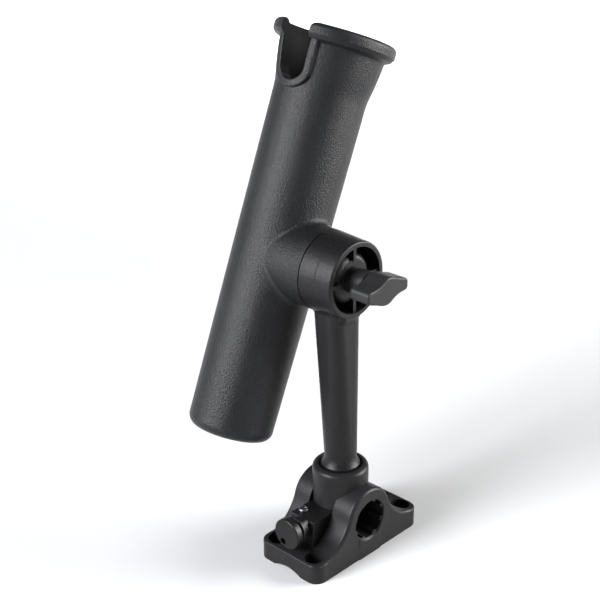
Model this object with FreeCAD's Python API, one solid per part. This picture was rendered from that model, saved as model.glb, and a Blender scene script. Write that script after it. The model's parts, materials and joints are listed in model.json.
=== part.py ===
import FreeCAD, Part
import math
import os

Vector = FreeCAD.Vector
X_AXIS = Vector(1, 0, 0)
Y_AXIS = Vector(0, 1, 0)
Z_AXIS = Vector(0, 0, 1)

# Row frame, millimetres: the origin is the middle of the base's underside. X runs along the base,
# with the plunger at -X. The rod tube stands beside the post, on its +Y side, and the wing knob faces -Y.

# ---- Driving dimensions: deck base ----
BASE_LENGTH = 100.0
BASE_WIDTH = 51.6
PLATE_HEIGHT = 13.2
BASE_CORNER = 7.5
PLATE_ROUNDING = 1.4
BELL_RADIUS = 19.5
BELL_CENTRE_Z = 28.5
BELL_FOOT_X = 47.0
BELL_BACK_Y = 24.4
BELL_ROUNDING = 2.4
COLLAR_RADIUS = 18.2
COLLAR_TOP_Z = 58.4
COLLAR_ROUNDING = 3.2
SCREW_X = 41.5
SCREW_Y = 16.0
SCREW_HOLE_RADIUS = 3.3
COUNTERBORE_RADIUS = 6.6
COUNTERBORE_FLOOR_Z = 5.6
ARCH_WIDTH = 23.0
ARCH_HEIGHT = 3.0
ARCH_DEPTH = 12.0
PAD_WIDTH = 19.0
PAD_PROUD = 0.6
PAD_SLOPE = 1.6
POCKET_INNER_X = 20.5
POCKET_OUTER_X = 33.5
POCKET_INNER_Y = 2.5
POCKET_OUTER_Y = 21.5
POCKET_DEPTH = 6.5
LANYARD_HOLE_X = 45.0
LANYARD_HOLE_RADIUS = 2.2

# ---- Driving dimensions: splined socket and foot ----
SPLINE_COUNT = 8
SOCKET_RADIUS = 13.3
SOCKET_FLOOR_Z = 12.0
LEAD_IN_RADIUS = 14.5
LEAD_IN_END_RADIUS = 12.9
LEAD_IN_DEPTH = 1.6
RIB_RADIUS = 12.1
RIB_WIDTH = 3.0
SIDE_SOCKET_Z = 26.0
SIDE_SOCKET_END_Y = 18.0
FOOT_CLEARANCE = 0.25
FLUTE_CLEARANCE = 0.35
FOOT_BOTTOM_Z = 12.3
FOOT_TOP_Z = 57.2
FOOT_CHAMFER = 1.0
NOSE_FLUTE_CLEARANCE = 0.5
NOSE_FLUTE_RISE = 8.0

# ---- Driving dimensions: latch ----
PLUNGER_Z = 27.5
BLOCK_FACE_X = -36.0
BLOCK_HALF_WIDTH = 10.0
BLOCK_TOP_Z = 33.0
BLOCK_ROUNDING = 0.9
SEAM = 0.25
LATCH_SCREW_X = -28.8
LATCH_SCREW_Y = 5.6
LATCH_SCREW_HEAD_RADIUS = 3.3
LATCH_SCREW_HEAD_HEIGHT = 1.9
LATCH_SCREW_HEAD_ROUNDING = 1.2
LATCH_SCREW_RADIUS = 1.35
LATCH_SCREW_HOLE_RADIUS = 1.45
LATCH_SCREW_TIP_Z = 9.2
CROSS_SLOT_LENGTH = 3.8
CROSS_SLOT_WIDTH = 0.9
CROSS_SLOT_DEPTH = 1.1
CROSS_SLOT_TURN_DEG = 20
KNOB_DISC_RADIUS = 10.2
KNOB_DISC_FACE_X = -50.6
KNOB_DISC_BACK_X = -45.4
KNOB_DISC_ROUNDING = 1.0
KNOB_HUB_RADIUS = 4.4
CORD_HOLE_RADIUS = 2.1
CORD_HOLE_Y = 2.9
CORD_HOLE_DROP = 6.2
SLEEVE_FACE_X = -43.9
SLEEVE_FLANGE_RADIUS = 9.2
SLEEVE_FLANGE_BACK_X = -41.4
SLEEVE_FLANGE_ROUNDING = 0.8
SLEEVE_BARREL_RADIUS = 7.2
SLEEVE_TAIL_RADIUS = 3.9
SLEEVE_TAIL_END_X = -21.0
SLEEVE_BORE_RADIUS = 3.2
SLEEVE_WALL_X = -41.6
STEM_RADIUS = 2.0
STEM_GUIDE_RADIUS = 2.06
STEM_HOLE_RADIUS = 2.3
STEM_START_X = -48.6
STEM_TIP_X = -12.4
STEM_TIP_RADIUS = 1.2
STEM_TIP_LENGTH = 1.0
CLIP_X = -29.0
CLIP_RADIUS = 3.0
CLIP_GROOVE_RADIUS = 1.5
CLIP_THICKNESS = 0.9
CLIP_MOUTH = 1.8
PLUNGER_COIL_RADIUS = 2.62
PLUNGER_WIRE_RADIUS = 0.35
PLUNGER_COIL_TURNS = 7
PLUNGER_SPRING_END_GAP = 0.05

# ---- Driving dimensions: post ----
PIVOT_Z = 188.6
SHAFT_RADIUS = 10.5
SHAFT_FOOT_Z = 67.0
SHAFT_FOOT_CORNER = 10.3
SHAFT_HEAD_Z = 174.0
SHAFT_HEAD_HALF_WIDTH = 13.2
SHAFT_HEAD_FRONT_Y = -7.4
SHAFT_HEAD_FRONT_CORNER = 8.0
SHAFT_HEAD_BACK_CORNER = 1.2
NECK_BOTTOM_Z = 57.0
NECK_RIM_Z = 59.0
NECK_RIM_RADIUS = 12.5
NECK_CURVE_Z = 61.4
NECK_CURVE_RADIUS = 11.1
NECK_TOP_Z = 68.0
THROAT_BLEND = 4.5
THROAT_CORNER = 4.5
THROAT_BACK_CORNER = 1.0
# Each level of the throat's web: its height, its half width and where its front stands.
THROAT_LEVELS = ((150.0, 7.0, -6.8), (156.5, 8.2, -7.6), (161.0, 9.2, -8.9), (164.5, 10.2, -11.0),
                 (168.0, 11.0, -12.1))
HOUSING_RADIUS_FRONT = 24.2
HOUSING_RADIUS_SEAM = 25.6
HOUSING_FRONT_Y = -12.6
HOUSING_SEAM_Y = 11.4
HOUSING_WALL = 3.2
HOUSING_WEB_Y = 1.5
HOUSING_RIM_ROUNDING = 1.1
HUB_FRONT_Y = -9.0
HUB_RADIUS_FRONT = 15.6
HUB_RADIUS_WEB = 17.4
HUB_ROUNDING = 4.5
HUB_SEAT_RADIUS = 8.2
HUB_SEAT_Y = -7.6
HOUSING_RIB_COUNT = 4
HOUSING_RIB_WIDTH = 2.4
HOUSING_RIB_SETBACK = 1.6
HOUSING_RIB_INNER = 12.2

# ---- Driving dimensions: tilt joint ----
SEAM_GAP = 0.8
TOOTH_COUNT = 36
TOOTH_INNER_RADIUS = 12.5
TOOTH_OUTER_RADIUS = 21.5
TOOTH_HEIGHT = 1.7
TOOTH_TIP_PLAY = 0.4
TOOTH_FILL = 0.96
TOOTH_RING_MARGIN = 0.8
TOOTH_ROOT_SINK = 0.05
BOLT_RADIUS = 4.0
BOLT_HOLE_RADIUS = 4.06
BOLT_END_Y = -30.5
BOLT_POINT = 1.0
BOLT_HEAD_Y = 22.0
BOLT_HEAD_HEIGHT = 5.3
BOLT_HEAD_FLATS = 13.0
BOLT_HEAD_CROWN_RADIUS = 6.1
BOLT_HEAD_SLOPE = 2.6
HEAD_POCKET_FLATS = 13.4
HEAD_POCKET_Y = 20.3
WASHER_THICKNESS = 1.6
HEAD_WASHER_RADIUS = 6.4
HEAD_WASHER_HOLE_RADIUS = 4.3
KNOB_WASHER_RADIUS = 7.9
KNOB_WASHER_BACK_Y = -7.65
SPRING_SEAT_RADIUS = 8.2
SPRING_SEAT_POST_Y = 5.0
SPRING_SEAT_TUBE_Y = 16.0
SPRING_COIL_RADIUS = 6.4
SPRING_WIRE_RADIUS = 0.7
SPRING_COIL_TURNS = 5
SPRING_END_GAP = 0.1

# ---- Driving dimensions: wing knob ----
KNOB_FACE_Y = -37.5
KNOB_WING_BACK_Y = -21.5
KNOB_STEM_RADIUS = 8.3
KNOB_STEM_END_RADIUS = 8.0
KNOB_CORNER = 2.8
KNOB_EDGE = 1.2
KNOB_BACK_EDGE = 3.0
INSERT_FLATS = 11.0
INSERT_LENGTH = 9.0
INSERT_HOLE_RADIUS = 4.05
BOLT_ROOM_RADIUS = 4.4
BOLT_ROOM_END_Y = -32.5

# ---- Driving dimensions: rod tube, measured along its own axis from the pivot ----
TUBE_OFFSET_Y = 54.4
TUBE_TILT_DEG = 23.1
TUBE_BOTTOM = -119.0
TUBE_BOTTOM_RADIUS = 27.6
TUBE_BOTTOM_ROUNDING = 7.0
TUBE_FLOOR = 4.0
TUBE_BORE_RADIUS = 25.4
BORE_CHAMFER = 3.0
TUBE_NECK = 104.0
TUBE_NECK_RADIUS = 29.6
FLARE_MIDDLE = 117.5
FLARE_MIDDLE_RADIUS = 32.1
FLARE_TOP = 130.0
FLARE_RADIUS = 33.6
LIP_SHELF = 131.6
LIP_SHELF_RADIUS = 37.3
LIP_LOW = 134.0
LIP_TOP = 141.0
LIP_RADIUS = 39.0
LIP_ROUNDING = 3.4
NECK_EASING = 45.0
LIP_EASING = 1.6
MOUTH_RADIUS = 34.6
MOUTH_CURVE = 122.5
MOUTH_CURVE_RADIUS = 27.4
DRAIN_COUNT = 3
DRAIN_RADIUS = 3.2
DRAIN_CIRCLE = 10.0
NOTCH_HALF_WIDTH = 9.3
NOTCH_HALF_WIDTH_TOP = 11.4
NOTCH_CENTRE = 114.8
NOTCH_BORDER = 5.0
NOTCH_PROUD = 2.4
NOTCH_EDGE = 1.3
NOTCH_BORDER_EDGE = 1.2
NOTCH_CORNER = 3.6
BOSS_BLEND = 4.0

# How far a shape that cuts or joins runs past the face that it works on.
LAP = 1.0

# Closeness used when edges are picked by where they lie.
NEAR = 0.01


# ---- Shape helpers ----
def cylinder(radius, start, end, axis=Z_AXIS, centre=Vector(0, 0, 0)):
    """A cylinder along an axis, from one distance along it to another."""
    base = centre + axis * start
    return Part.makeCylinder(radius, end - start, base, axis)


def tube(outer, inner, start, end, axis=Z_AXIS, centre=Vector(0, 0, 0)):
    return cylinder(outer, start, end, axis, centre).cut(cylinder(inner, start, end, axis, centre))


def cone(start_radius, end_radius, start, end, axis=Z_AXIS, centre=Vector(0, 0, 0)):
    return Part.makeCone(start_radius, end_radius, end - start, centre + axis * start, axis)


def box(low, high):
    size = high - low
    return Part.makeBox(size.x, size.y, size.z, low)


def hexagon(flats, start, end, axis, centre=Vector(0, 0, 0)):
    """A hexagonal prism along Y or Z."""
    corner = flats / math.sqrt(3)
    points = []
    for side in range(7):
        angle = math.radians(60 * side)
        points.append(Vector(corner * math.cos(angle), corner * math.sin(angle), 0))
    prism = Part.Face(Part.makePolygon(points)).extrude(Vector(0, 0, end - start))
    prism.Placement = FreeCAD.Placement(centre + axis * start, FreeCAD.Rotation(Z_AXIS, axis))
    return prism


def fuse_all(shapes):
    return shapes[0].multiFuse(shapes[1:]).removeSplitter()


def chain(points):
    """Straight edges through points."""
    return [Part.makeLine(low, high) for low, high in zip(points, points[1:])]


def revolve(edges):
    """Turn a closed outline in the XZ plane about the Z axis."""
    return Part.Face(Part.Wire(edges)).revolve(Vector(0, 0, 0), Z_AXIS, 360)


def fillet_where(shape, radius, wanted):
    """Round the edges whose mid point passes a test."""
    chosen = []
    for edge in shape.Edges:
        middle = edge.valueAt((edge.FirstParameter + edge.LastParameter) / 2)
        if wanted(middle, edge):
            chosen.append(edge)
    return shape.makeFillet(radius, chosen)


def is_ring(edge, height):
    """Whether an edge lies level at a height."""
    return edge.BoundBox.ZLength < NEAR and abs(edge.BoundBox.ZMax - height) < NEAR


def polar(radius, degrees):
    angle = math.radians(degrees)
    return Vector(radius * math.cos(angle), radius * math.sin(angle), 0)


def helix_spring(coil_radius, wire_radius, length, turns):
    """An open coil along +Z from the origin, with its wire's middle starting one wire radius up."""
    rise = length - 2 * wire_radius
    path = Part.makeHelix(rise / turns, rise, coil_radius)
    path.translate(Vector(0, 0, wire_radius))
    start = path.Edges[0].valueAt(path.Edges[0].FirstParameter)
    tangent = path.Edges[0].tangentAt(path.Edges[0].FirstParameter)
    section = Part.Wire(Part.makeCircle(wire_radius, start, tangent))
    return Part.Wire(path.Edges).makePipeShell([section], True, True)


# ---- Deck base ----
def bell_foot_radius():
    """The concave arc that touches both the bell's crown and the plate's top."""
    rise = BELL_CENTRE_Z - PLATE_HEIGHT
    return (BELL_FOOT_X ** 2 + rise ** 2 - BELL_RADIUS ** 2) / (2 * (BELL_RADIUS + rise))


def mirror(point):
    return Vector(-point.x, point.y, point.z)


def bell():
    """The hump's bell outline, drawn in XZ and extruded from the front face towards the back."""
    foot = bell_foot_radius()
    crown = Vector(0, 0, BELL_CENTRE_Z)
    centre = Vector(BELL_FOOT_X, 0, PLATE_HEIGHT + foot)
    touch = crown + (centre - crown) * (BELL_RADIUS / (BELL_RADIUS + foot))
    half_way = (math.atan2(touch.z - centre.z, touch.x - centre.x) - math.pi / 2) / 2
    middle = centre + Vector(math.cos(half_way), 0, math.sin(half_way)) * foot
    end = Vector(BELL_FOOT_X, 0, PLATE_HEIGHT)
    root = Vector(BELL_FOOT_X, 0, PLATE_HEIGHT / 2)
    edges = [
        Part.Arc(mirror(end), mirror(middle), mirror(touch)).toShape(),
        Part.Arc(mirror(touch), crown + Vector(0, 0, BELL_RADIUS), touch).toShape(),
        Part.Arc(touch, middle, end).toShape(),
        Part.makeLine(end, root),
        Part.makeLine(root, mirror(root)),
        Part.makeLine(mirror(root), mirror(end)),
    ]
    profile = Part.Face(Part.Wire(edges))
    front = -BASE_WIDTH / 2
    profile.translate(Vector(0, front, 0))
    solid = profile.extrude(Vector(0, BELL_BACK_Y - front, 0))
    return fillet_where(solid, BELL_ROUNDING, lambda m, e: e.Length > NEAR and m.z > PLATE_HEIGHT + NEAR
                        and (abs(m.y - front) < NEAR or abs(m.y - BELL_BACK_Y) < NEAR))


def footprint(height):
    """The base's plan with its round corners, up to a height."""
    half = Vector(BASE_LENGTH / 2, BASE_WIDTH / 2, 0)
    block = box(-half, half + Vector(0, 0, height))
    return fillet_where(block, BASE_CORNER, lambda m, e: abs(m.z - height / 2) < NEAR)


def base_plate():
    return fillet_where(footprint(PLATE_HEIGHT), PLATE_ROUNDING, lambda m, e: abs(m.z - PLATE_HEIGHT) < NEAR)


def collar():
    body = cylinder(COLLAR_RADIUS, PLATE_HEIGHT / 2, COLLAR_TOP_Z)
    return fillet_where(body, COLLAR_ROUNDING, lambda m, e: abs(m.z - COLLAR_TOP_Z) < NEAR)


def splined_bore(start, end):
    """The hole that takes the post's foot: round, with ribs standing in from its wall."""
    hole = cylinder(SOCKET_RADIUS, start, end)
    ribs = []
    for index in range(SPLINE_COUNT):
        rib = box(Vector(RIB_RADIUS, -RIB_WIDTH / 2, start),
                  Vector(SOCKET_RADIUS + LAP, RIB_WIDTH / 2, end))
        rib.rotate(Vector(0, 0, 0), Z_AXIS, (index + 0.5) * 360 / SPLINE_COUNT)
        ribs.append(rib)
    return hole.cut(ribs[0].multiFuse(ribs[1:]))


def upright_socket():
    bore = splined_bore(SOCKET_FLOOR_Z, COLLAR_TOP_Z + LAP)
    mouth = cone(LEAD_IN_END_RADIUS, LEAD_IN_RADIUS, COLLAR_TOP_Z - LEAD_IN_DEPTH, COLLAR_TOP_Z)
    return bore.fuse(mouth)


def side_socket():
    front = -BASE_WIDTH / 2 - PAD_PROUD
    bore = splined_bore(0, SIDE_SOCKET_END_Y - front)
    mouth = cone(LEAD_IN_RADIUS, LEAD_IN_END_RADIUS, 0, LEAD_IN_DEPTH)
    cut = bore.fuse(mouth)
    cut.Placement = FreeCAD.Placement(Vector(0, front, SIDE_SOCKET_Z), FreeCAD.Rotation(Z_AXIS, Y_AXIS))
    return cut


def side_pad():
    """The flat pad that runs from the side socket down to the base's foot, with sloping sides."""
    front = -BASE_WIDTH / 2
    half = PAD_WIDTH / 2
    outline = [(-half - PAD_SLOPE, front), (-half, front - PAD_PROUD), (half, front - PAD_PROUD),
               (half + PAD_SLOPE, front), (half + PAD_SLOPE, front + LAP), (-half - PAD_SLOPE, front + LAP)]
    corners = [Vector(x, y, 0) for x, y in outline]
    return Part.Face(Part.makePolygon(corners + corners[:1])).extrude(Vector(0, 0, SIDE_SOCKET_Z))


def screw_positions():
    return [Vector(sx * SCREW_X, sy * SCREW_Y, 0) for sx in (-1, 1) for sy in (-1, 1)]


def mounting_holes():
    holes = []
    for place in screw_positions():
        holes.append(cylinder(SCREW_HOLE_RADIUS, -LAP, PLATE_HEIGHT, Z_AXIS, place))
        holes.append(cylinder(COUNTERBORE_RADIUS, COUNTERBORE_FLOOR_Z, BELL_CENTRE_Z, Z_AXIS, place))
    return holes


def underside_cuts():
    """Drain arches at both ends and four lightening pockets."""
    radius = ((ARCH_WIDTH / 2) ** 2 + ARCH_HEIGHT ** 2) / (2 * ARCH_HEIGHT)
    centre = Vector(0, 0, ARCH_HEIGHT - radius)
    end = BASE_LENGTH / 2
    cuts = [cylinder(radius, side[0], side[1], X_AXIS, centre)
            for side in ((-end - LAP, -end + ARCH_DEPTH), (end - ARCH_DEPTH, end + LAP))]
    for sx in (-1, 1):
        for sy in (-1, 1):
            xs = sorted((sx * POCKET_INNER_X, sx * POCKET_OUTER_X))
            ys = sorted((sy * POCKET_INNER_Y, sy * POCKET_OUTER_Y))
            cuts.append(box(Vector(xs[0], ys[0], -LAP), Vector(xs[1], ys[1], POCKET_DEPTH)))
    return cuts


def latch_recess():
    """Room for the latch block: flat on the plate, back to the collar."""
    reach = BLOCK_HALF_WIDTH + SEAM
    room = box(Vector(-BASE_LENGTH / 2 - LAP, -reach, PLATE_HEIGHT), Vector(0, reach, COLLAR_TOP_Z))
    return room.cut(cylinder(COLLAR_RADIUS, 0, COLLAR_TOP_Z + LAP))


def deck_base():
    hump = bell().common(footprint(COLLAR_TOP_Z))
    body = fuse_all([base_plate(), hump, collar(), side_pad()])
    body = body.cut(latch_recess())
    body = body.cut(upright_socket()).cut(side_socket())
    stem_hole = cylinder(STEM_HOLE_RADIUS, -COLLAR_RADIUS - LAP, 0, X_AXIS, plunger_axis())
    screw_hole = cylinder(LATCH_SCREW_RADIUS, LATCH_SCREW_TIP_Z, PLATE_HEIGHT + LAP, Z_AXIS,
                          latch_screw_place())
    lanyard = cylinder(LANYARD_HOLE_RADIUS, 0, PLATE_HEIGHT + LAP, Z_AXIS, Vector(LANYARD_HOLE_X, 0, 0))
    for cut in [stem_hole, screw_hole, lanyard] + mounting_holes() + underside_cuts():
        body = body.cut(cut)
    return body


# ---- Latch ----
def plunger_axis():
    return Vector(0, 0, PLUNGER_Z)


def latch_screw_place():
    return Vector(LATCH_SCREW_X, LATCH_SCREW_Y, 0)


def latch_block():
    body = box(Vector(BLOCK_FACE_X, -BLOCK_HALF_WIDTH, PLATE_HEIGHT),
               Vector(0, BLOCK_HALF_WIDTH, BLOCK_TOP_Z))
    body = body.cut(cylinder(COLLAR_RADIUS + SEAM, 0, COLLAR_TOP_Z))
    body = fillet_where(body, BLOCK_ROUNDING,
                        lambda m, e: abs(m.x - BLOCK_FACE_X) < NEAR and m.z > PLATE_HEIGHT + NEAR)
    tail = cylinder(SLEEVE_TAIL_RADIUS, BLOCK_FACE_X - LAP, SLEEVE_TAIL_END_X, X_AXIS, plunger_axis())
    nose = cylinder(STEM_HOLE_RADIUS, SLEEVE_TAIL_END_X - LAP, 0, X_AXIS, plunger_axis())
    shank = cylinder(LATCH_SCREW_HOLE_RADIUS, 0, BLOCK_TOP_Z + LAP, Z_AXIS, latch_screw_place())
    return body.cut(tail).cut(nose).cut(shank)


def latch_block_screw():
    place = latch_screw_place()
    top = BLOCK_TOP_Z + LATCH_SCREW_HEAD_HEIGHT
    head = cylinder(LATCH_SCREW_HEAD_RADIUS, BLOCK_TOP_Z, top, Z_AXIS, place)
    head = fillet_where(head, LATCH_SCREW_HEAD_ROUNDING, lambda m, e: abs(m.z - top) < NEAR)
    shank = cylinder(LATCH_SCREW_RADIUS, LATCH_SCREW_TIP_Z, BLOCK_TOP_Z, Z_AXIS, place)
    screw = head.fuse(shank)
    half = Vector(CROSS_SLOT_LENGTH / 2, CROSS_SLOT_WIDTH / 2, 0)
    for turn in (0, 90):
        slot = box(Vector(0, 0, top - CROSS_SLOT_DEPTH) - half, Vector(0, 0, top + LAP) + half)
        slot.rotate(Vector(0, 0, 0), Z_AXIS, turn + CROSS_SLOT_TURN_DEG)
        slot.translate(place)
        screw = screw.cut(slot)
    return screw


def plunger_sleeve():
    axis = plunger_axis()
    flange = cylinder(SLEEVE_FLANGE_RADIUS, SLEEVE_FACE_X, SLEEVE_FLANGE_BACK_X, X_AXIS, axis)
    flange = fillet_where(flange, SLEEVE_FLANGE_ROUNDING, lambda m, e: e.Length > 2 * SLEEVE_FLANGE_RADIUS)
    barrel = cylinder(SLEEVE_BARREL_RADIUS, SLEEVE_FLANGE_BACK_X - LAP, BLOCK_FACE_X, X_AXIS, axis)
    tail = cylinder(SLEEVE_TAIL_RADIUS, BLOCK_FACE_X - LAP, SLEEVE_TAIL_END_X, X_AXIS, axis)
    body = fuse_all([flange, barrel, tail])
    bore = cylinder(SLEEVE_BORE_RADIUS, SLEEVE_WALL_X, SLEEVE_TAIL_END_X + LAP, X_AXIS, axis)
    guide = cylinder(STEM_GUIDE_RADIUS, SLEEVE_FACE_X - LAP, SLEEVE_WALL_X + LAP, X_AXIS, axis)
    return body.cut(bore).cut(guide)


def plunger_knob():
    axis = plunger_axis()
    disc = cylinder(KNOB_DISC_RADIUS, KNOB_DISC_FACE_X, KNOB_DISC_BACK_X, X_AXIS, axis)
    disc = fillet_where(disc, KNOB_DISC_ROUNDING, lambda m, e: e.Length > 2 * KNOB_DISC_RADIUS)
    hub = cylinder(KNOB_HUB_RADIUS, KNOB_DISC_BACK_X - LAP, SLEEVE_FACE_X - SEAM, X_AXIS, axis)
    body = disc.fuse(hub)
    stem_hole = cylinder(STEM_RADIUS, STEM_START_X, 0, X_AXIS, axis)
    cord_hole = cylinder(CORD_HOLE_RADIUS, KNOB_DISC_FACE_X - LAP, 0, X_AXIS,
                         axis + Vector(0, CORD_HOLE_Y, -CORD_HOLE_DROP))
    return body.cut(stem_hole).cut(cord_hole)


def plunger_stem():
    """The latch pin, with a groove for its clip and a bevelled nose."""
    axis = plunger_axis()
    nose_start = STEM_TIP_X - STEM_TIP_LENGTH
    pin = cylinder(STEM_RADIUS, STEM_START_X, nose_start, X_AXIS, axis)
    nose = cone(STEM_RADIUS, STEM_TIP_RADIUS, nose_start, STEM_TIP_X, X_AXIS, axis)
    groove = tube(CLIP_RADIUS, CLIP_GROOVE_RADIUS, CLIP_X, CLIP_X + CLIP_THICKNESS, X_AXIS, axis)
    return pin.fuse(nose).removeSplitter().cut(groove)


def plunger_clip():
    """An E-shaped retaining clip snapped into the stem's groove."""
    axis = plunger_axis()
    ring = tube(CLIP_RADIUS, CLIP_GROOVE_RADIUS, CLIP_X, CLIP_X + CLIP_THICKNESS, X_AXIS, axis)
    mouth = box(Vector(CLIP_X - LAP, -CLIP_MOUTH / 2, PLUNGER_Z - CLIP_RADIUS - LAP),
                Vector(CLIP_X + CLIP_THICKNESS + LAP, CLIP_MOUTH / 2, PLUNGER_Z))
    return ring.cut(mouth)


def plunger_spring():
    """The coil between the sleeve's end wall and the clip."""
    start = SLEEVE_WALL_X + PLUNGER_SPRING_END_GAP
    length = CLIP_X - PLUNGER_SPRING_END_GAP - start
    spring = helix_spring(PLUNGER_COIL_RADIUS, PLUNGER_WIRE_RADIUS, length, PLUNGER_COIL_TURNS)
    spring.Placement = FreeCAD.Placement(Vector(start, 0, PLUNGER_Z), FreeCAD.Rotation(Z_AXIS, X_AXIS))
    return spring


# ---- Post ----
def rounded_section(z, half_width, front, back, front_corner, back_corner):
    """A closed wire in a level plane: round at the front, squarer at the back."""
    corners = (
        (half_width - back_corner, back - back_corner, back_corner, 0),
        (-half_width + back_corner, back - back_corner, back_corner, 90),
        (-half_width + front_corner, front + front_corner, front_corner, 180),
        (half_width - front_corner, front + front_corner, front_corner, 270),
    )
    arcs = []
    for x, y, r, turn in corners:
        ends = [Vector(x, y, z) + polar(r, turn + step) for step in (0, 45, 90)]
        arcs.append(Part.Arc(*ends).toShape())
    edges = []
    for index, arc in enumerate(arcs):
        following = arcs[(index + 1) % len(arcs)]
        edges.append(arc)
        edges.append(Part.makeLine(arc.Vertexes[-1].Point, following.Vertexes[0].Point))
    return Part.Wire(edges)


def foot():
    """The splined plug that drops into either socket."""
    body = cylinder(SOCKET_RADIUS - FOOT_CLEARANCE, FOOT_BOTTOM_Z, FOOT_TOP_Z)
    body = body.makeChamfer(FOOT_CHAMFER, [e for e in body.Edges if is_ring(e, FOOT_BOTTOM_Z)])
    half = RIB_WIDTH / 2 + FLUTE_CLEARANCE
    for index in range(SPLINE_COUNT):
        flute = box(Vector(RIB_RADIUS - FLUTE_CLEARANCE, -half, SOCKET_FLOOR_Z),
                    Vector(SOCKET_RADIUS + LAP, half, COLLAR_TOP_Z))
        flute.rotate(Vector(0, 0, 0), Z_AXIS, (index + 0.5) * 360 / SPLINE_COUNT)
        body = body.cut(flute)
    return body


def nose_flute():
    """The groove that the latch pin's nose stands in as the post slides."""
    half = STEM_RADIUS + NOSE_FLUTE_CLEARANCE
    return box(Vector(-SOCKET_RADIUS - LAP, -half, SOCKET_FLOOR_Z),
               Vector(STEM_TIP_X + NOSE_FLUTE_CLEARANCE, half, PLUNGER_Z + NOSE_FLUTE_RISE))


def neck():
    """The foot's head, drawn in by a concave curve to the shaft."""
    bottom = Vector(NECK_RIM_RADIUS, 0, NECK_BOTTOM_Z)
    rim = Vector(NECK_RIM_RADIUS, 0, NECK_RIM_Z)
    top = Vector(SHAFT_RADIUS, 0, NECK_TOP_Z)
    edges = [
        Part.makeLine(Vector(0, 0, NECK_BOTTOM_Z), bottom),
        Part.makeLine(bottom, rim),
        Part.Arc(rim, Vector(NECK_CURVE_RADIUS, 0, NECK_CURVE_Z), top).toShape(),
        Part.makeLine(top, Vector(0, 0, NECK_TOP_Z)),
        Part.makeLine(Vector(0, 0, NECK_TOP_Z), Vector(0, 0, NECK_BOTTOM_Z)),
    ]
    return revolve(edges)


def shaft():
    low = rounded_section(SHAFT_FOOT_Z, SHAFT_RADIUS, -SHAFT_RADIUS, SHAFT_RADIUS,
                          SHAFT_FOOT_CORNER, SHAFT_FOOT_CORNER)
    high = rounded_section(SHAFT_HEAD_Z, SHAFT_HEAD_HALF_WIDTH, SHAFT_HEAD_FRONT_Y, HOUSING_SEAM_Y,
                           SHAFT_HEAD_FRONT_CORNER, SHAFT_HEAD_BACK_CORNER)
    return Part.makeLoft([low, high], True, True)


def housing_outer():
    ring = cone(HOUSING_RADIUS_FRONT, HOUSING_RADIUS_SEAM, HOUSING_FRONT_Y, HOUSING_SEAM_Y, Y_AXIS, pivot())
    return fillet_where(ring, HOUSING_RIM_ROUNDING, lambda m, e: abs(m.y - HOUSING_FRONT_Y) < NEAR)


def pivot():
    return Vector(0, 0, PIVOT_Z)


def throat():
    """The web that carries the housing's front rim down to the shaft."""
    levels = [rounded_section(z, half, front, 0, THROAT_CORNER, THROAT_BACK_CORNER)
              for z, half, front in THROAT_LEVELS]
    return Part.makeLoft(levels, True, False)


def shaft_and_housing():
    """The shaft joined to its ring, with the meeting line between them blended."""
    joined = shaft().fuse(housing_outer())
    low = PIVOT_Z - HOUSING_RADIUS_SEAM
    return fillet_where(joined, THROAT_BLEND, lambda m, e: low - LAP < m.z < SHAFT_HEAD_Z
                        and m.y < HOUSING_SEAM_Y - NEAR and joins_ring(m))


def joins_ring(point):
    """Whether a point lies on the ring's outside, where the shaft meets it."""
    depth = (point.y - HOUSING_FRONT_Y) / (HOUSING_SEAM_Y - HOUSING_FRONT_Y)
    radius = HOUSING_RADIUS_FRONT + (HOUSING_RADIUS_SEAM - HOUSING_RADIUS_FRONT) * depth
    return abs(math.hypot(point.x, point.z - PIVOT_Z) - radius) < 5 * NEAR


def housing_pocket():
    """The open front of the housing, round a domed hub that the knob's washer is sunk in."""
    wall_inner = HOUSING_RADIUS_FRONT - HOUSING_WALL
    pocket = cylinder(wall_inner, -HOUSING_WEB_Y, -HOUSING_FRONT_Y + LAP, -Y_AXIS, pivot())
    hub = cone(HUB_RADIUS_WEB, HUB_RADIUS_FRONT, -HOUSING_WEB_Y - LAP, -HUB_FRONT_Y, -Y_AXIS, pivot())
    hub = fillet_where(hub, HUB_ROUNDING, lambda m, e: abs(m.y - HUB_FRONT_Y) < NEAR)
    pocket = pocket.cut(hub)
    half = HOUSING_RIB_WIDTH / 2
    for index in range(HOUSING_RIB_COUNT):
        rib = box(Vector(HOUSING_RIB_INNER, HOUSING_FRONT_Y + HOUSING_RIB_SETBACK, -half),
                  Vector(wall_inner + LAP, HOUSING_WEB_Y + LAP, half))
        rib.rotate(Vector(0, 0, 0), Y_AXIS, index * 360 / HOUSING_RIB_COUNT)
        rib.translate(pivot())
        pocket = pocket.cut(rib)
    seat = cylinder(HUB_SEAT_RADIUS, -HUB_SEAT_Y, -HOUSING_FRONT_Y, -Y_AXIS, pivot())
    return pocket.fuse(seat)


def tooth_ring(root_y, tip_y):
    """Radial V teeth standing from a flat ring, about the Y axis through the origin."""
    half_angle = 180 / TOOTH_COUNT * TOOTH_FILL
    teeth = []
    for index in range(TOOTH_COUNT):
        middle = index * 360 / TOOTH_COUNT
        wires = []
        for radius in (TOOTH_INNER_RADIUS, TOOTH_OUTER_RADIUS):
            left, peak, right = (polar(radius, middle + step) for step in (-half_angle, 0, half_angle))
            lift = (tip_y - root_y) * radius / TOOTH_OUTER_RADIUS
            corners = [Vector(left.x, root_y, left.y), Vector(peak.x, root_y + lift, peak.y),
                       Vector(right.x, root_y, right.y)]
            wires.append(Part.makePolygon(corners + corners[:1]))
        teeth.append(Part.makeLoft(wires, True, True))
    return teeth


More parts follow.
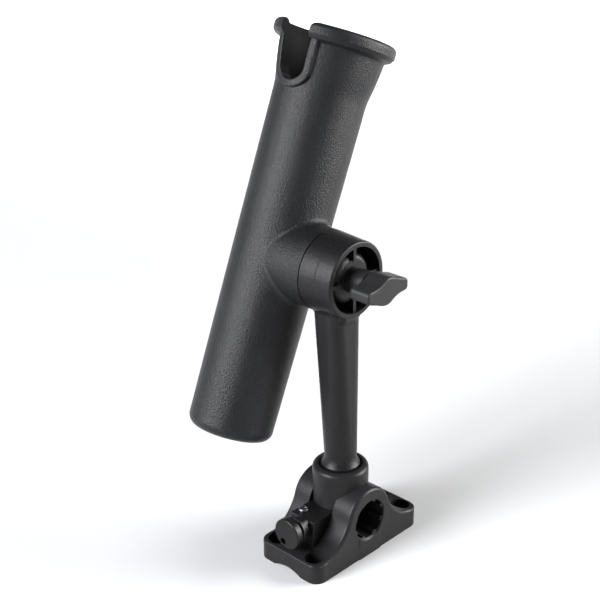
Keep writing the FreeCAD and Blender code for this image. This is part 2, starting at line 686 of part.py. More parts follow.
def seam_recess(face_y, root_y):
    """The sunk ring that the teeth stand in, open at the seam."""
    start, end = sorted((face_y, root_y))
    outer = TOOTH_OUTER_RADIUS + TOOTH_RING_MARGIN
    inner = TOOTH_INNER_RADIUS - TOOTH_RING_MARGIN
    return tube(outer, inner, start, end, Y_AXIS)


def spline_post():
    outer = fuse_all([foot(), neck(), shaft_and_housing(), throat()])
    body = outer.cut(housing_pocket()).cut(nose_flute())
    root = HOUSING_SEAM_Y + SEAM_GAP / 2 - TOOTH_TIP_PLAY / 2 - TOOTH_HEIGHT
    ring = seam_recess(HOUSING_SEAM_Y + LAP, root)
    ring.translate(pivot())
    seat = cylinder(SPRING_SEAT_RADIUS, SPRING_SEAT_POST_Y, HOUSING_SEAM_Y + LAP, Y_AXIS, pivot())
    bolt_hole = cylinder(BOLT_HOLE_RADIUS, HOUSING_FRONT_Y - LAP, HOUSING_SEAM_Y + LAP, Y_AXIS, pivot())
    body = body.cut(ring).cut(seat).cut(bolt_hole)
    teeth = tooth_ring(root - TOOTH_ROOT_SINK, root + TOOTH_HEIGHT)
    for tooth in teeth:
        tooth.translate(pivot())
    return body.multiFuse(teeth)


# ---- Rod tube, built upright with the pivot at the origin ----
def rounded_corner(corner, radius, entry, leave):
    """The arc that rounds a right-angled corner, given the two unit directions that run away from it."""
    centre = corner + (entry + leave) * radius
    middle = centre - (entry + leave) * (radius * math.sqrt(0.5))
    return Part.Arc(corner + entry * radius, middle, corner + leave * radius)


def body_outline(grow):
    """The tube's outside, as edges from the axis at the bottom to the top of the flare."""
    corner = Vector(TUBE_BOTTOM_RADIUS + grow, 0, TUBE_BOTTOM)
    heel = rounded_corner(corner, TUBE_BOTTOM_ROUNDING, -X_AXIS, Z_AXIS)
    neck_end = Vector(TUBE_NECK_RADIUS + grow, 0, TUBE_NECK)
    flare_middle = Vector(FLARE_MIDDLE_RADIUS + grow, 0, FLARE_MIDDLE)
    return [
        Part.makeLine(Vector(0, 0, TUBE_BOTTOM), heel.StartPoint),
        heel.toShape(),
        Part.makeLine(heel.EndPoint, neck_end),
        Part.Arc(neck_end, flare_middle, flare_end(grow)).toShape(),
    ]


def flare_end(grow):
    return Vector(FLARE_RADIUS + grow, 0, FLARE_TOP)


def round_body(edges):
    """Turn the tube's outline, ease its flare into its body and move it beside the post."""
    solid = fillet_where(revolve(edges), NECK_EASING, lambda m, e: is_ring(e, TUBE_NECK))
    solid.translate(Vector(0, TUBE_OFFSET_Y, 0))
    return solid


def tube_outside():
    brow = rounded_corner(Vector(LIP_RADIUS, 0, LIP_TOP), LIP_ROUNDING, -Z_AXIS, -X_AXIS)
    shelf = Vector(LIP_SHELF_RADIUS, 0, LIP_SHELF)
    lip_side = chain([flare_end(0), shelf, Vector(LIP_RADIUS, 0, LIP_LOW), brow.StartPoint])
    back = chain([brow.EndPoint, Vector(0, 0, LIP_TOP), Vector(0, 0, TUBE_BOTTOM)])
    solid = round_body(body_outline(0) + lip_side + [brow.toShape()] + back)
    return fillet_where(solid, LIP_EASING, lambda m, e: is_ring(e, FLARE_TOP))


def notch_band():
    """The raised border round the reel notch, carried straight up into the lip."""
    top = Vector(FLARE_RADIUS + NOTCH_PROUD, 0, LIP_LOW)
    back = chain([flare_end(NOTCH_PROUD), top, Vector(0, 0, LIP_LOW), Vector(0, 0, TUBE_BOTTOM)])
    band = round_body(body_outline(NOTCH_PROUD) + back).common(notch_prism(NOTCH_BORDER))
    return fillet_where(band, NOTCH_BORDER_EDGE,
                        lambda m, e: from_tube_axis(m) > TUBE_NECK_RADIUS and m.z < FLARE_TOP - NEAR)


def from_tube_axis(point):
    return math.hypot(point.x, point.y - TUBE_OFFSET_Y)


def notch_gap(point):
    """How far a point lies outside the notch's U outline, seen along X."""
    side = abs(point.y - TUBE_OFFSET_Y)
    if point.z < NOTCH_CENTRE:
        return math.hypot(side, point.z - NOTCH_CENTRE) - NOTCH_HALF_WIDTH
    slope = (NOTCH_HALF_WIDTH_TOP - NOTCH_HALF_WIDTH) / (LIP_TOP - NOTCH_CORNER - NOTCH_CENTRE)
    return side - NOTCH_HALF_WIDTH - slope * (point.z - NOTCH_CENTRE)


def round_notch(body):
    """Round the notch's outer edge, up to the lip."""
    raised = TUBE_NECK_RADIUS + NOTCH_PROUD / 2
    return fillet_where(body, NOTCH_EDGE, lambda m, e: m.x < 0 and m.z < FLARE_TOP
                        and abs(notch_gap(m)) < 5 * NEAR and from_tube_axis(m) > raised)


def tube_inside():
    """The rod's bore, opening out to the mouth, with the drain holes in the floor."""
    floor = Vector(0, 0, TUBE_BOTTOM + TUBE_FLOOR)
    wall_end = Vector(TUBE_BORE_RADIUS, 0, TUBE_NECK)
    curve = Vector(MOUTH_CURVE_RADIUS, 0, MOUTH_CURVE)
    mouth = Vector(MOUTH_RADIUS, 0, LIP_TOP)
    above = mouth + Vector(0, 0, LAP)
    wall = chain([floor, floor + Vector(TUBE_BORE_RADIUS - BORE_CHAMFER, 0, 0),
                  floor + Vector(TUBE_BORE_RADIUS, 0, BORE_CHAMFER), wall_end])
    back = chain([mouth, above, Vector(0, 0, above.z), floor])
    hollow = revolve(wall + [Part.Arc(wall_end, curve, mouth).toShape()] + back)
    drains = []
    for index in range(DRAIN_COUNT):
        place = polar(DRAIN_CIRCLE, index * 360 / DRAIN_COUNT)
        drains.append(cylinder(DRAIN_RADIUS, TUBE_BOTTOM - LAP, floor.z + LAP, Z_AXIS, place))
    hollow = hollow.multiFuse(drains)
    hollow.translate(Vector(0, TUBE_OFFSET_Y, 0))
    return hollow


def notch_prism(border):
    """The reel notch's U outline, grown by a border, drawn through the tube's -X wall."""
    half = NOTCH_HALF_WIDTH + border
    half_top = NOTCH_HALF_WIDTH_TOP + border
    shoulder = LIP_TOP - NOTCH_CORNER
    middle = NOTCH_CORNER * (1 - math.sqrt(0.5))
    sides = []
    for sign in (-1, 1):
        root = Vector(0, sign * half, NOTCH_CENTRE)
        corner = Vector(0, sign * half_top, shoulder)
        halfway = Vector(0, sign * (half_top + middle), LIP_TOP - middle)
        brow = Vector(0, sign * (half_top + NOTCH_CORNER), LIP_TOP)
        above = brow + Vector(0, 0, LAP)
        sides.append([Part.makeLine(root, corner), Part.Arc(corner, halfway, brow).toShape(),
                      Part.makeLine(brow, above)])
    root = Vector(0, half, NOTCH_CENTRE)
    across = half_top + NOTCH_CORNER
    above = Vector(0, across, LIP_TOP + LAP)
    bottom = Part.Arc(root, Vector(0, 0, NOTCH_CENTRE - half), Vector(0, -half, NOTCH_CENTRE)).toShape()
    lid = Part.makeLine(above, above - Vector(0, 2 * across, 0))
    outline = Part.Wire(Part.__sortEdges__([bottom, lid] + sides[0] + sides[1]))
    prism = Part.Face(outline).extrude(Vector(-LIP_RADIUS - NOTCH_PROUD - LAP, 0, 0))
    prism.translate(Vector(0, TUBE_OFFSET_Y, 0))
    return prism


def side_boss():
    start = HOUSING_SEAM_Y + SEAM_GAP
    return cylinder(HOUSING_RADIUS_SEAM, start, TUBE_OFFSET_Y, Y_AXIS)


def tube_and_boss():
    """The tube joined to its boss, with the meeting line between them blended."""
    joined = tube_outside().fuse(side_boss())
    seam_y = HOUSING_SEAM_Y + SEAM_GAP
    return fillet_where(joined, BOSS_BLEND, lambda m, e: e.Length > 2 * HOUSING_RADIUS_SEAM
                        and seam_y + BOSS_BLEND < m.y < TUBE_OFFSET_Y - BOSS_BLEND
                        and abs(m.z) < HOUSING_RADIUS_SEAM + LAP)


def rod_tube():
    body = tube_and_boss().fuse(notch_band()).cut(tube_inside()).cut(notch_prism(0))
    body = round_notch(body)
    seam_y = HOUSING_SEAM_Y + SEAM_GAP
    root = HOUSING_SEAM_Y + SEAM_GAP / 2 + TOOTH_TIP_PLAY / 2 + TOOTH_HEIGHT
    body = body.cut(seam_recess(seam_y - LAP, root))
    body = body.cut(cylinder(SPRING_SEAT_RADIUS, seam_y - LAP, SPRING_SEAT_TUBE_Y, Y_AXIS))
    body = body.cut(cylinder(BOLT_HOLE_RADIUS, seam_y - LAP, TUBE_OFFSET_Y, Y_AXIS))
    body = body.cut(hexagon(HEAD_POCKET_FLATS, HEAD_POCKET_Y, TUBE_OFFSET_Y, Y_AXIS))
    body = body.multiFuse(tooth_ring(root + TOOTH_ROOT_SINK, root - TOOTH_HEIGHT))
    return on_tilt_axis(body)


def on_tilt_axis(shape):
    """Lean a shape built about the origin to the tube's rest angle, at the pivot."""
    shape = shape.copy()
    shape.rotate(Vector(0, 0, 0), Y_AXIS, TUBE_TILT_DEG)
    shape.translate(pivot())
    return shape


# ---- Pivot hardware, built with the pivot at the origin ----
def pivot_bolt():
    shank = cylinder(BOLT_RADIUS, BOLT_END_Y + BOLT_POINT, BOLT_HEAD_Y, Y_AXIS)
    point = cone(BOLT_RADIUS - BOLT_POINT, BOLT_RADIUS, BOLT_END_Y, BOLT_END_Y + BOLT_POINT, Y_AXIS)
    head_end = BOLT_HEAD_Y + BOLT_HEAD_HEIGHT
    head = hexagon(BOLT_HEAD_FLATS, BOLT_HEAD_Y, head_end, Y_AXIS)
    crown = cone(BOLT_HEAD_CROWN_RADIUS + BOLT_HEAD_SLOPE, BOLT_HEAD_CROWN_RADIUS, BOLT_HEAD_Y, head_end,
                 Y_AXIS)
    return on_tilt_axis(fuse_all([shank, point, head.common(crown)]))


def bolt_head_washer():
    return on_tilt_axis(tube(HEAD_WASHER_RADIUS, HEAD_WASHER_HOLE_RADIUS, BOLT_HEAD_Y - WASHER_THICKNESS,
                             BOLT_HEAD_Y, Y_AXIS))


def release_spring():
    """The spring that parts the two tooth rings when the knob is loosened."""
    length = SPRING_SEAT_TUBE_Y - SPRING_SEAT_POST_Y - SPRING_END_GAP
    spring = helix_spring(SPRING_COIL_RADIUS, SPRING_WIRE_RADIUS, length, SPRING_COIL_TURNS)
    spring.Placement = FreeCAD.Placement(Vector(0, SPRING_SEAT_TUBE_Y, 0), FreeCAD.Rotation(Z_AXIS, -Y_AXIS))
    return on_tilt_axis(spring)


def washer_front_y():
    return KNOB_WASHER_BACK_Y - WASHER_THICKNESS


def knob_washer():
    washer = tube(KNOB_WASHER_RADIUS, BOLT_HOLE_RADIUS, washer_front_y(), KNOB_WASHER_BACK_Y, Y_AXIS)
    washer.translate(pivot())
    return washer


# ---- Wing knob ----
def knob_outline():
    """Two swept wings about a round middle: one long side, then the same turned half round."""
    side = [(18.0, 2.9), (14.2, 4.5), (8.8, 6.3), (3.2, 8.3), (-1.2, 8.3), (-5.2, 6.3), (-9.5, 4.7),
            (-13.5, 4.1), (-18.0, 4.3)]
    upper = [Vector(x, 0, z) for x, z in side]
    lower = [-point for point in upper]
    edges = []
    for points, following in ((upper, lower), (lower, upper)):
        curve = Part.BSplineCurve()
        curve.interpolate(points)
        edges.append(curve.toShape())
        edges.append(Part.makeLine(points[-1], following[0]))
    return Part.Wire(edges)


def wing_knob():
    head = Part.Face(knob_outline()).extrude(Vector(0, KNOB_WING_BACK_Y - KNOB_FACE_Y, 0))
    head.translate(Vector(0, KNOB_FACE_Y, 0))
    depth_middle = (KNOB_FACE_Y + KNOB_WING_BACK_Y) / 2
    head = fillet_where(head, KNOB_CORNER, lambda m, e: abs(m.y - depth_middle) < NEAR)
    head = fillet_where(head, KNOB_EDGE, lambda m, e: abs(m.y - KNOB_FACE_Y) < NEAR)
    head = fillet_where(head, KNOB_BACK_EDGE, lambda m, e: abs(m.y - KNOB_WING_BACK_Y) < NEAR)
    stem = cone(KNOB_STEM_RADIUS, KNOB_STEM_END_RADIUS, KNOB_WING_BACK_Y - LAP, washer_front_y(), Y_AXIS)
    body = head.fuse(stem)
    insert_room = hexagon(INSERT_FLATS, insert_end_y(), washer_front_y(), Y_AXIS)
    bolt_room = cylinder(BOLT_ROOM_RADIUS, BOLT_ROOM_END_Y, washer_front_y(), Y_AXIS)
    body = body.cut(insert_room).cut(bolt_room)
    body.translate(pivot())
    return body


def insert_end_y():
    return washer_front_y() - INSERT_LENGTH


def knob_insert():
    body = hexagon(INSERT_FLATS, insert_end_y(), washer_front_y(), Y_AXIS)
    body = body.cut(cylinder(INSERT_HOLE_RADIUS, insert_end_y() - LAP, 0, Y_AXIS))
    body.translate(pivot())
    return body


PIECES = {
    "deck_base": deck_base,
    "latch_block": latch_block,
    "latch_block_screw": latch_block_screw,
    "plunger_sleeve": plunger_sleeve,
    "plunger_knob": plunger_knob,
    "plunger_stem": plunger_stem,
    "plunger_clip": plunger_clip,
    "plunger_spring": plunger_spring,
    "spline_post": spline_post,
    "rod_tube": rod_tube,
    "pivot_bolt": pivot_bolt,
    "bolt_head_washer": bolt_head_washer,
    "release_spring": release_spring,
    "knob_washer": knob_washer,
    "knob_insert": knob_insert,
    "wing_knob": wing_knob,
}


def main():
    os.makedirs("parts", exist_ok=True)
    for name, make in PIECES.items():
        shape = make()
        print(name, "valid" if shape.isValid() else "NOT VALID", "solids", len(shape.Solids),
              "volume", round(shape.Volume, 1))
        shape.exportStep(os.path.join("parts", name + ".step"))


main()
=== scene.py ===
import json
import math

import bpy
from mathutils import Matrix, Vector


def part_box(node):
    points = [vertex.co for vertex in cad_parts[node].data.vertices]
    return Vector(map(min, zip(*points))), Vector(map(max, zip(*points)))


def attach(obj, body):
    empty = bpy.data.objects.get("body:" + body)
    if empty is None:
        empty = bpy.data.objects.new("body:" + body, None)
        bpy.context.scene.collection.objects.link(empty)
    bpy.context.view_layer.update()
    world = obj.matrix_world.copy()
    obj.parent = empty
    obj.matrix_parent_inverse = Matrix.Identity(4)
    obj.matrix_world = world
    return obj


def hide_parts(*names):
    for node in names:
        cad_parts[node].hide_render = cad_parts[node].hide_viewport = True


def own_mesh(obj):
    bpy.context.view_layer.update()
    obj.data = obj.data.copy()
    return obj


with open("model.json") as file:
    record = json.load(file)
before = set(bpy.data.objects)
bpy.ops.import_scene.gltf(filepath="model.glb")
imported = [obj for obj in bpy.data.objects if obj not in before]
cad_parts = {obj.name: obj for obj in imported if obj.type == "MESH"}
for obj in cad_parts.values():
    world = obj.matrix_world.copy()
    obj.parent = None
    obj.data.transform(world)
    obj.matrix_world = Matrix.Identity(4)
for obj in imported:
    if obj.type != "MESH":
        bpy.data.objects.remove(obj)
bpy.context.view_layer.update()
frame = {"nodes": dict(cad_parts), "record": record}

MM = 0.001
FULL_TURN = 2 * math.pi

# ---- Camera: where the reference view was taken from, lens and sensor in millimetres ----
CAMERA_PLACE = Vector((-0.5235, -0.4730, 0.4829))
CAMERA_YAW = math.radians(44.13)
CAMERA_PITCH = math.radians(23.76)
CAMERA_ROLL = math.radians(-0.60)
CAMERA_LENS = 75.99
CAMERA_SENSOR = 36.0
CAMERA_NEAREST = 0.01

# ---- Studio: a pale round floor, and a sky that gets dimmer from the horizon up ----
FLOOR_RADIUS = 2.1
FLOOR_CORNERS = 96
FLOOR_COLOUR = (0.57, 0.57, 0.57)
FLOOR_DARKEST = 0.985  # the share of the floor's colour that is left in its darker blotches
FLOOR_BLOTCH = 0.4
FLOOR_ROUGHNESS = 0.9
FLOOR_SPECULAR = 0.1
SKY_COLOUR = (0.95, 0.97, 1.0)
SKY_STRENGTH = 0.24
HORIZON_STRENGTH = 0.80
HORIZON_HEIGHT = 0.14  # how far up a unit direction points where the sky's own strength is reached
LIT_POINT = (0, 0.03, 0.15)  # what the two side lights are aimed at


# ---- Node-tree helpers ----
def node(tree, kind, settings=None, **inputs):
    """Add a shader node.

    An input is given by its name, with _ for a space, as a value or as a socket to link.
    """
    made = tree.nodes.new(kind)
    for key, value in (settings or {}).items():
        setattr(made, key, value)
    for key, value in inputs.items():
        socket = find_input(made, key)
        if isinstance(value, bpy.types.NodeSocket):
            tree.links.new(value, socket)
        else:
            socket.default_value = value
    return made


def find_input(made, key):
    """The input with this name, or the one with this number for a key like i0."""
    if key[0] == "i" and key[1:].isdigit():
        return made.inputs[int(key[1:])]
    return made.inputs[key.replace("_", " ")]


def ramp(tree, factor, low, high, from_low=0.0, from_high=1.0):
    """Stretch a value from one range to another, clamped."""
    made = node(tree, "ShaderNodeMapRange", Value=factor,
                From_Min=from_low, From_Max=from_high, To_Min=low, To_Max=high)
    return made.outputs["Result"]


def arithmetic(tree, operation, **inputs):
    return node(tree, "ShaderNodeMath", {"operation": operation}, **inputs).outputs[0]


def mix_colour(tree, factor, first, second):
    """The first colour where the factor is 0, the second where it is 1."""
    made = node(tree, "ShaderNodeMix", {"data_type": "RGBA"}, i0=factor, i6=first, i7=second)
    return made.outputs[2]


def object_point(tree, scale=(1, 1, 1)):
    """The shaded point in the piece's own frame, in metres unless it is scaled."""
    coordinates = node(tree, "ShaderNodeTexCoord")
    mapping = node(tree, "ShaderNodeMapping", Vector=coordinates.outputs["Object"], Scale=scale)
    return mapping.outputs["Vector"]


def noise(tree, point, size, detail=2.0, roughness=0.5):
    """Noise whose blotches are about `size` metres across."""
    made = node(tree, "ShaderNodeTexNoise", Vector=point, Scale=1.0 / size, Detail=detail,
                Roughness=roughness)
    return made.outputs["Fac"]


def opaque(colour):
    return (*colour, 1)


def scaled(colour, share):
    return opaque(tone * share for tone in colour)


def new_material(name):
    """An empty material with a shader that its output is linked to."""
    material = bpy.data.materials.new(name)
    material.use_nodes = True
    tree = material.node_tree
    tree.nodes.clear()
    output = node(tree, "ShaderNodeOutputMaterial")
    shader = node(tree, "ShaderNodeBsdfPrincipled")
    tree.links.new(shader.outputs["BSDF"], output.inputs["Surface"])
    return material, tree, shader


# ---- Materials ----
# The parting line goes round the post's housing at this Y and starts at this Z.
POST = frame["nodes"]["spline_post"]
LINE_PLACE = POST.matrix_world.inverted() @ Vector((0, -0.4 * MM, 166 * MM))
LINE_WIDTH = 0.35 * MM
LINE_DEPTH = 0.12 * MM

# What all moulded plastics share. A pair is the range of noise over which something changes.
SPECULAR_LEVEL = 0.23
PEBBLE_SMOOTHNESS = 0.6
PEBBLE_SHARE = 0.7
FINE_SHARE = 0.55  # the fine grain's size as a share of the pebbles'
FLOW_SIZE = 22 * MM
GRAIN_STRENGTH = 0.9
MOTTLE_RANGE = (0.35, 0.65)
# the speckles are painted glints: pale specks in the colour that stand in for the grain's sparkle
SPECKLE_RANGE = (0.45, 0.75)
SPECKLE_BRIGHTNESS = 3.0
POLISH_RANGE = (0.3, 0.7)
SMOOTHER = 0.07
ROUGHER = 0.09

# What all bare metals share.
DRAWN = (1, 30, 1)  # makes the noise 30 times finer along Y, so that it reads as lines
DRAWN_SIZE = 0.8 * MM
DRAWN_DEPTH = 0.02 * MM
DRAWN_STRENGTH = 0.35
DRAWN_SMOOTHER = 0.06
DRAWN_ROUGHER = 0.1
STAIN_SIZE = 4 * MM
STAIN_RANGE = (0.3, 0.7)
STAIN_TONE = 0.78


def parting_line(tree, point, place):
    """A value that is 1 on the line a mould leaves, at a place's Y, above the place's Z."""
    parts = node(tree, "ShaderNodeSeparateXYZ", Vector=point)
    offset = arithmetic(tree, "SUBTRACT", i0=parts.outputs["Y"], i1=place.y)
    gap = arithmetic(tree, "ABSOLUTE", i0=offset)
    line = ramp(tree, gap, 1.0, 0.0, 0.0, LINE_WIDTH)
    above = ramp(tree, parts.outputs["Z"], 0.0, 1.0, place.z, place.z + LINE_WIDTH)
    return arithmetic(tree, "MULTIPLY", i0=line, i1=above)


def moulded_plastic(name, dark, light, roughness, grain_size, grain_depth, speckle,
                    specular=SPECULAR_LEVEL, line_place=None):
    """Black glass-filled nylon from a grained mould: pebbled and a little mottled, with pale specks
    that are painted glints of the grain.
    """
    material, tree, shader = new_material(name)
    point = object_point(tree)
    pebbles = node(tree, "ShaderNodeTexVoronoi", {"feature": "SMOOTH_F1"}, Vector=point,
                   Scale=1.0 / grain_size, Smoothness=PEBBLE_SMOOTHNESS).outputs["Distance"]
    fine = noise(tree, point, grain_size * FINE_SHARE, detail=3.0, roughness=0.65)
    flow = noise(tree, point, FLOW_SIZE, detail=3.0, roughness=0.55)
    height = arithmetic(tree, "MULTIPLY_ADD", i0=pebbles, i1=PEBBLE_SHARE, i2=fine)
    bump = node(tree, "ShaderNodeBump", Strength=GRAIN_STRENGTH, Distance=grain_depth,
                Height=height)
    if line_place:
        line = parting_line(tree, point, line_place)
        bump = node(tree, "ShaderNodeBump", {"invert": True}, Strength=1.0, Distance=LINE_DEPTH,
                    Height=line, Normal=bump.outputs["Normal"])
    mottle = ramp(tree, flow, 0.0, 1.0, *MOTTLE_RANGE)
    mottled = mix_colour(tree, mottle, opaque(dark), opaque(light))
    # painted glints: pale specks mixed into the colour stand in for the grain's sparkle
    glint_specks = ramp(tree, fine, 0.0, speckle, *SPECKLE_RANGE)
    speckled = mix_colour(tree, glint_specks, mottled, scaled(light, SPECKLE_BRIGHTNESS))
    rough = ramp(tree, fine, roughness - SMOOTHER, roughness + ROUGHER, *POLISH_RANGE)
    tree.links.new(speckled, shader.inputs["Base Color"])
    tree.links.new(rough, shader.inputs["Roughness"])
    tree.links.new(bump.outputs["Normal"], shader.inputs["Normal"])
    shader.inputs["Specular IOR Level"].default_value = specular
    return material


def bare_metal(name, colour, roughness):
    """Steel or brass with fine drawn or turned lines and faint stains."""
    material, tree, shader = new_material(name)
    lines = noise(tree, object_point(tree, DRAWN), DRAWN_SIZE)
    stains = noise(tree, object_point(tree), STAIN_SIZE, detail=3.0)
    stain = ramp(tree, stains, 0.0, 1.0, *STAIN_RANGE)
    tone = mix_colour(tree, stain, opaque(colour), scaled(colour, STAIN_TONE))
    bump = node(tree, "ShaderNodeBump", Strength=DRAWN_STRENGTH, Distance=DRAWN_DEPTH, Height=lines)
    rough = ramp(tree, lines, roughness - DRAWN_SMOOTHER, roughness + DRAWN_ROUGHER)
    tree.links.new(tone, shader.inputs["Base Color"])
    tree.links.new(rough, shader.inputs["Roughness"])
    tree.links.new(bump.outputs["Normal"], shader.inputs["Normal"])
    shader.inputs["Metallic"].default_value = 1.0
    return material


def floor_material():
    """A plain pale floor with hardly any variation."""
    material, tree, shader = new_material("studio_floor")
    tint = noise(tree, object_point(tree), FLOOR_BLOTCH)
    pale = mix_colour(tree, tint, opaque(FLOOR_COLOUR), scaled(FLOOR_COLOUR, FLOOR_DARKEST))
    tree.links.new(pale, shader.inputs["Base Color"])
    shader.inputs["Roughness"].default_value = FLOOR_ROUGHNESS
    shader.inputs["Specular IOR Level"].default_value = FLOOR_SPECULAR
    return material


# Each slot's material. The bore's, whose darker colour is painted shade, isn't one of the record's
# slots: the function that finishes and shades the bore uses it.
MATERIALS = {
    "tube_plastic": moulded_plastic(
        "tube_moulding", dark=(0.0038, 0.0039, 0.0043), light=(0.0064, 0.0066, 0.0072),
        roughness=0.34, grain_size=0.95 * MM, grain_depth=0.28 * MM, speckle=1.0),
    # painted shade: the bore's colours are darker than the tube's, for the shade inside the tube
    "bore_shade_plastic": moulded_plastic(
        "bore_shade_moulding", dark=(0.0034, 0.0035, 0.0037), light=(0.0050, 0.0051, 0.0054),
        roughness=0.60, grain_size=0.8 * MM, grain_depth=0.05 * MM, speckle=0.3, specular=0.03),
    "post_plastic": moulded_plastic(
        "post_moulding", dark=(0.0040, 0.0040, 0.0042), light=(0.0058, 0.0058, 0.0061),
        roughness=0.34, grain_size=0.8 * MM, grain_depth=0.13 * MM, speckle=0.8, specular=0.20,
        line_place=LINE_PLACE),
    "base_plastic": moulded_plastic(
        "base_moulding", dark=(0.0088, 0.0085, 0.0090), light=(0.0120, 0.0116, 0.0122),
        roughness=0.34, grain_size=0.6 * MM, grain_depth=0.06 * MM, speckle=0.4, specular=0.15),
    "latch_plastic": moulded_plastic(
        "latch_moulding", dark=(0.0040, 0.0040, 0.0041), light=(0.0056, 0.0055, 0.0056),
        roughness=0.33, grain_size=0.6 * MM, grain_depth=0.05 * MM, speckle=0.25),
    "knob_plastic": moulded_plastic(
        "knob_moulding", dark=(0.010, 0.010, 0.0103), light=(0.014, 0.014, 0.0144),
        roughness=0.38, grain_size=0.6 * MM, grain_depth=0.08 * MM, speckle=0.35),
    "stainless": bare_metal("stainless_steel", colour=(0.60, 0.60, 0.60), roughness=0.28),
    "screw_steel": bare_metal("screw_steel", colour=(0.20, 0.21, 0.24), roughness=0.30),
    "spring_steel": bare_metal("spring_steel", colour=(0.45, 0.45, 0.46), roughness=0.33),
    "brass_insert": bare_metal("brass_insert", colour=(0.66, 0.48, 0.22), roughness=0.32),
}

# ---- Rounded edges: the small radii that the CAD solids leave sharp ----
EDGE_RADIUS = {
    "rod_tube": 0.7 * MM,
    "spline_post": 0.45 * MM,
    "deck_base": 0.45 * MM,
    "latch_block": 0.35 * MM,
    "latch_block_screw": 0.12 * MM,
    "plunger_sleeve": 0.2 * MM,
    "plunger_knob": 0.3 * MM,
    "wing_knob": 0.35 * MM,
    "knob_washer": 0.12 * MM,
    "pivot_bolt": 0.15 * MM,
}
SAME_POINT = 0.002 * MM
FLAT_ANGLE = math.radians(0.4)
SHARP_ANGLE = math.radians(28)
EDGE_SEGMENTS = 3
LARGE_FACE_WEIGHT = 60  # 50 is neutral

# ---- Which of the rod tube's faces get the bore's finish and painted shade ----
FACING = 0.4  # a bore face's normal points to the axis by more than this, a notch side's by less
LEVEL = 0.7  # a notch side's normal points along the axis by less than this
NOTCH_HEIGHT = 100 * MM  # above the middle of the bore, a little below the notch


def round_edges(piece, radius):
    """Weld the CAD faces' borders, merge what is flat, round what is sharp and even the shading."""
    weld = piece.modifiers.new("weld_borders", "WELD")
    weld.merge_threshold = SAME_POINT
    flatten = piece.modifiers.new("merge_flat", "DECIMATE")
    flatten.decimate_type = "DISSOLVE"
    flatten.angle_limit = FLAT_ANGLE
    bevel = piece.modifiers.new("edge_radius", "BEVEL")
    bevel.width = radius
    bevel.segments = EDGE_SEGMENTS
    bevel.limit_method = "ANGLE"
    bevel.angle_limit = SHARP_ANGLE
    bevel.miter_outer = "MITER_ARC"
    bevel.use_clamp_overlap = True
    shade = piece.modifiers.new("even_shading", "WEIGHTED_NORMAL")
    shade.weight = LARGE_FACE_WEIGHT
    shade.keep_sharp = False


def finish_and_shade_bore():
    """Give the rod tube's bore and the sides of its notch a smoother, duller finish and a darker
    colour that is painted shade.
    """
    piece = frame["nodes"]["rod_tube"]
    bore = next(mount for mount in frame["record"]["mounts"] if mount["name"] == "rod_bore")
    to_piece = piece.matrix_world.inverted()
    middle = to_piece @ Vector(bore["pos_m"])
    axis = (to_piece.to_3x3() @ Vector(bore["axis"])).normalized()
    # this material's darker colour is painted shade inside the tube
    piece.data.materials.append(MATERIALS["bore_shade_plastic"])
    bore_slot = len(piece.data.materials) - 1
    for face in piece.data.polygons:
        reach = face.center - middle
        height = reach.dot(axis)
        facing = face.normal.dot((reach - axis * height).normalized())
        level = abs(face.normal.dot(axis)) < LEVEL
        notch_side = height > NOTCH_HEIGHT and level and abs(facing) < FACING
        if facing < -FACING or notch_side:
            face.material_index = bore_slot


def dress_nodes():
    """Give each CAD node its material and its rounded edges."""
    slots = {part["node"]: part["material_slot"] for part in frame["record"]["subparts"]}
    for name, piece in frame["nodes"].items():
        piece.data.materials.clear()
        piece.data.materials.append(MATERIALS[slots[name]])
        if name in EDGE_RADIUS:
            round_edges(piece, EDGE_RADIUS[name])
    finish_and_shade_bore()


# ---- Plunger spring: drawn here as a coil of round wire; the real one shortens as the plunger is pulled, this one does not ----
WIRE_RADIUS = 0.35 * MM
END_PITCH = 2.1 * WIRE_RADIUS  # the end turns almost touch the ones beside them
SPRING_TURNS = 7
STEPS_A_TURN = 28
WIRE_SIDES = 10


def wire_reach(turn, length):
    """How far along the spring its wire is after some turns. The end turns are closed."""
    if turn < 1:
        return END_PITCH * turn
    if turn > SPRING_TURNS - 1:
        return length - END_PITCH * (SPRING_TURNS - turn)
    pitch = (length - 2 * END_PITCH) / (SPRING_TURNS - 2)
    return END_PITCH + pitch * (turn - 1)


def spring_mesh(low, high):
    """The points and faces of a coil of round wire that fills a box, along X."""
    radius = (high.y - low.y) / 2 - WIRE_RADIUS
    start = Vector((low.x + WIRE_RADIUS, (low.y + high.y) / 2, (low.z + high.z) / 2))
    length = high.x - low.x - 2 * WIRE_RADIUS
    rings = SPRING_TURNS * STEPS_A_TURN + 1
    points = []
    for ring in range(rings):
        turn = ring / STEPS_A_TURN
        angle = FULL_TURN * turn
        outward = Vector((0, math.cos(angle), math.sin(angle)))
        middle = start + Vector((wire_reach(turn, length), 0, 0)) + outward * radius
        for side in range(WIRE_SIDES):
            round_wire = FULL_TURN * side / WIRE_SIDES
            points.append(middle + outward * (WIRE_RADIUS * math.cos(round_wire))
                          + Vector((WIRE_RADIUS * math.sin(round_wire), 0, 0)))
    faces = []
    for ring in range(rings - 1):
        for side in range(WIRE_SIDES):
            here = ring * WIRE_SIDES + side
            beside = ring * WIRE_SIDES + (side + 1) % WIRE_SIDES
            faces.append((here, beside, beside + WIRE_SIDES, here + WIRE_SIDES))
    last = (rings - 1) * WIRE_SIDES
    faces.append(tuple(reversed(range(WIRE_SIDES))))
    faces.append(tuple(range(last, last + WIRE_SIDES)))
    return points, faces


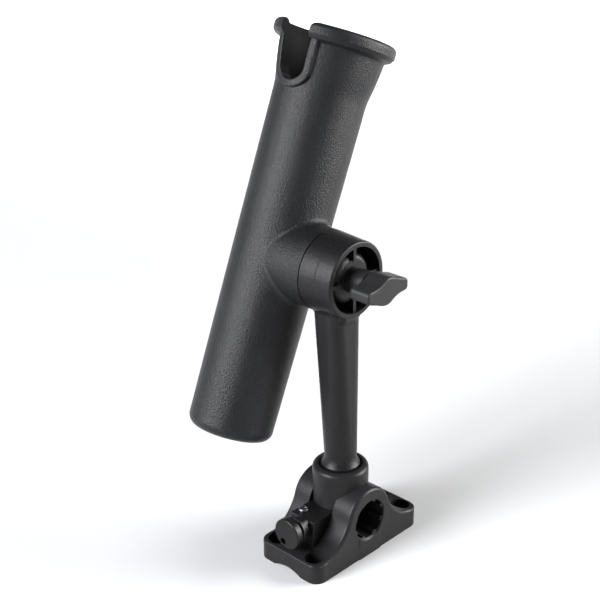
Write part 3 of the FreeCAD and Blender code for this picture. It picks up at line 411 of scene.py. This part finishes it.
def plunger_coil():
    """Stand in for the CAD spring with a coil that fills its box and rides on the base."""
    low, high = (Vector(corner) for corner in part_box("plunger_spring"))
    points, faces = spring_mesh(low, high)
    mesh = bpy.data.meshes.new("plunger_coil")
    mesh.from_pydata(points, [], faces)
    mesh.polygons.foreach_set("use_smooth", [True] * len(faces))
    mesh.materials.append(MATERIALS["spring_steel"])
    coil = bpy.data.objects.new("plunger_coil", mesh)
    bpy.context.scene.collection.objects.link(coil)
    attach(coil, "base")
    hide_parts("plunger_spring")
    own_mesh(coil)


# ---- Studio ----
def area_light(name, place, target, size, power, colour=(1, 1, 1), spread=180):
    """A rectangular soft light, with its power in watts and its spread in degrees."""
    light = bpy.data.lights.new(name, "AREA")
    light.shape = "RECTANGLE"
    light.size, light.size_y = size
    light.energy = power
    light.color = colour
    light.spread = math.radians(spread)
    holder = bpy.data.objects.new(name, light)
    holder.location = place
    holder.rotation_euler = (Vector(target) - Vector(place)).to_track_quat("-Z", "Y").to_euler()
    bpy.context.scene.collection.objects.link(holder)


def round_floor():
    angles = [FULL_TURN * corner / FLOOR_CORNERS for corner in range(FLOOR_CORNERS)]
    rim = [(FLOOR_RADIUS * math.cos(angle), FLOOR_RADIUS * math.sin(angle), 0) for angle in angles]
    mesh = bpy.data.meshes.new("floor")
    mesh.from_pydata(rim, [], [list(range(FLOOR_CORNERS))])
    floor = bpy.data.objects.new("floor", mesh)
    floor.data.materials.append(floor_material())
    bpy.context.scene.collection.objects.link(floor)


def sky_dome():
    """Light from all round, strongest at the horizon, so that low views have a pale background."""
    world = bpy.data.worlds.new("studio")
    world.use_nodes = True
    sky = world.node_tree
    direction = node(sky, "ShaderNodeTexCoord").outputs["Generated"]
    height = node(sky, "ShaderNodeSeparateXYZ", Vector=direction).outputs["Z"]
    strength = ramp(sky, height, HORIZON_STRENGTH, SKY_STRENGTH, 0.0, HORIZON_HEIGHT)
    sky.links.new(strength, sky.nodes["Background"].inputs["Strength"])
    sky.nodes["Background"].inputs["Color"].default_value = (*SKY_COLOUR, 1)
    bpy.context.scene.world = world


def studio():
    """A soft light on each side, and a third that only brightens the floor behind the object."""
    round_floor()
    sky_dome()
    area_light("left_box", place=(-1.85, 0.56, 1.0), target=LIT_POINT, size=(1.0, 1.2), power=114,
               colour=(0.96, 0.97, 1.0))
    area_light("right_box", place=(1.60, -1.40, 0.75), target=LIT_POINT, size=(1.3, 1.4), power=125)
    area_light("backdrop", place=(1.3, 1.3, 1.5), target=(1.3, 1.3, 0), size=(1.2, 1.2), power=20,
               spread=70)
    bpy.context.scene.view_settings.view_transform = "Standard"


def camera():
    lens = bpy.data.cameras.new("camera")
    lens.lens = CAMERA_LENS
    lens.sensor_width = CAMERA_SENSOR
    lens.clip_start = CAMERA_NEAREST
    holder = bpy.data.objects.new("camera", lens)
    place = Matrix.Translation(CAMERA_PLACE)
    yaw = Matrix.Rotation(CAMERA_YAW - math.pi / 2, 4, "Z")
    pitch = Matrix.Rotation(math.pi / 2 - CAMERA_PITCH, 4, "X")
    roll = Matrix.Rotation(CAMERA_ROLL, 4, "Z")
    holder.matrix_world = place @ (yaw @ pitch) @ roll
    bpy.context.scene.collection.objects.link(holder)
    bpy.context.scene.camera = holder


dress_nodes()
plunger_coil()
studio()
camera()

bpy.context.view_layer.update()
